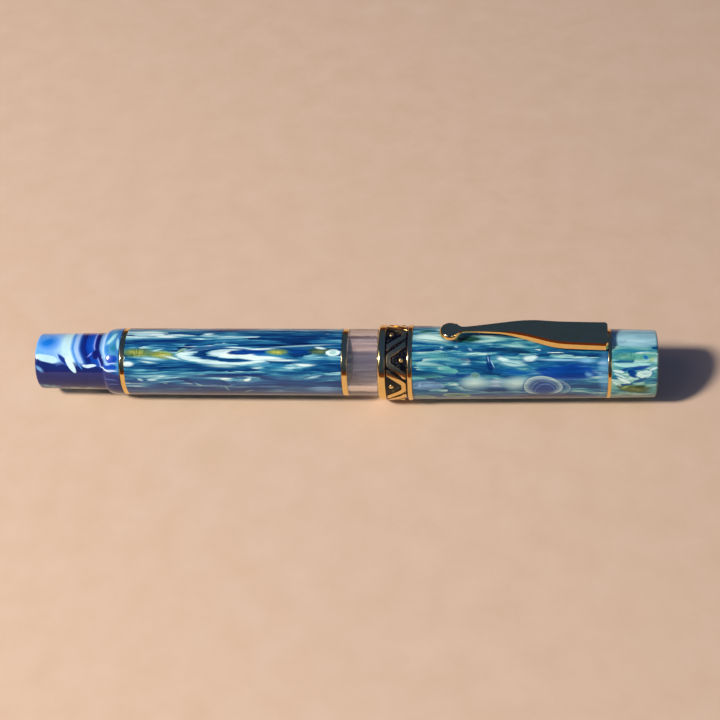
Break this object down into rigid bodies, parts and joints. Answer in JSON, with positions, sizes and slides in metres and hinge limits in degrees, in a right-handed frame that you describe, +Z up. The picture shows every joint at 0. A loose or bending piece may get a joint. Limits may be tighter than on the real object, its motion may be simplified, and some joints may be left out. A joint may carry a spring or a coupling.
{
  "type": "fountain pen",
  "caption": "Capped piston-filling fountain pen with a swirled resin barrel and cap, clear ink window, patterned cap band, sprung clip and turning tail knob.",
  "frame": {"origin": "under the middle of the capped pen, on the surface that the cap band rests on", "axes": "+X along the pen from the knob to the crown, +Z up through the clip, +Y across"},
  "size_m": [0.1426, 0.0174, 0.0207],
  "materials": {
    "barrel_resin": "polished swirled resin, blue, aqua and white",
    "knob_resin": "polished swirled resin, azure, indigo and white",
    "cap_resin": "polished pearly resin, teal, blue and pale aqua",
    "crown_resin": "polished pearly resin, pale aqua, blue and olive",
    "grip_resin": "polished swirled resin",
    "gold_trim": "polished gold plate",
    "gold_relief": "cast and polished gold plate",
    "clip_gold": "mirror-polished gold plate",
    "clear_acrylic": "clear, faintly grey",
    "black_enamel": "black enamel",
    "nib_gold": "gold-plated, polished",
    "nib_tipping": "polished hard alloy",
    "feed_plastic": "black moulded plastic",
    "seal_rubber": "black rubber",
    "mechanism_plastic": "natural acetal",
    "mechanism_brass": "turned brass",
    "piston_plastic": "white moulded plastic",
    "piston_seal": "soft translucent plastic",
    "liner_plastic": "ivory moulded plastic"
  },
  "bodies": {
    "pen": {"barrel": "barrel_resin", "barrel_tail_ring": "gold_trim", "barrel_front_ring": "gold_trim", "ink_window": "clear_acrylic", "mechanism_sleeve": "mechanism_plastic", "sleeve_seal": "seal_rubber", "spindle_retainer": "mechanism_brass", "grip_section": "grip_resin", "section_ring": "gold_trim", "section_seal": "seal_rubber", "nib_collar": "feed_plastic", "feed": "feed_plastic", "nib": "nib_gold", "nib_tip": "nib_tipping"},
    "knob": {"piston_knob": "knob_resin", "spindle": "mechanism_brass"},
    "piston": {"piston_rod": "mechanism_plastic", "piston_head": "piston_plastic", "piston_seal_front": "piston_seal", "piston_seal_rear": "piston_seal"},
    "inner_cap": {"inner_cap": "liner_plastic"},
    "cap": {"cap_body": "cap_resin", "cap_lip_ring": "gold_trim", "band_channel": "black_enamel", "band_brackets": "gold_relief", "band_beads": "gold_relief", "band_upper_ring": "gold_trim", "clip_ring": "gold_trim", "crown": "crown_resin"},
    "clip": {"clip": "clip_gold"}
  },
  "joints": [
    {"name": "cap_pull", "type": "slide", "parent": "pen", "child": "inner_cap", "axis": [1, 0, 0], "range_m": [0, 0.07]},
    {"name": "cap_twist", "type": "hinge", "parent": "inner_cap", "child": "cap", "pos_m": [0.03, 0, 0.0087], "axis": [1, 0, 0], "range_deg": [0, 540]},
    {"name": "clip_lift", "type": "hinge", "parent": "cap", "child": "clip", "pos_m": [0.06, 0, 0.0167], "axis": [0, 1, 0], "range_deg": [0, 5], "stiffness_Nm_per_rad": 0.6},
    {"name": "knob_turn", "type": "hinge", "parent": "pen", "child": "knob", "pos_m": [-0.06, 0, 0.0087], "axis": [1, 0, 0], "range_deg": [0, 1800]},
    {"name": "piston_travel", "type": "slide", "parent": "pen", "child": "piston", "axis": [1, 0, 0], "range_m": [0, 0.025]}
  ],
  "couplings": [
    {"joint": "piston_travel", "follows": "knob_turn", "m_per_rad": 0.000795}
  ]
}
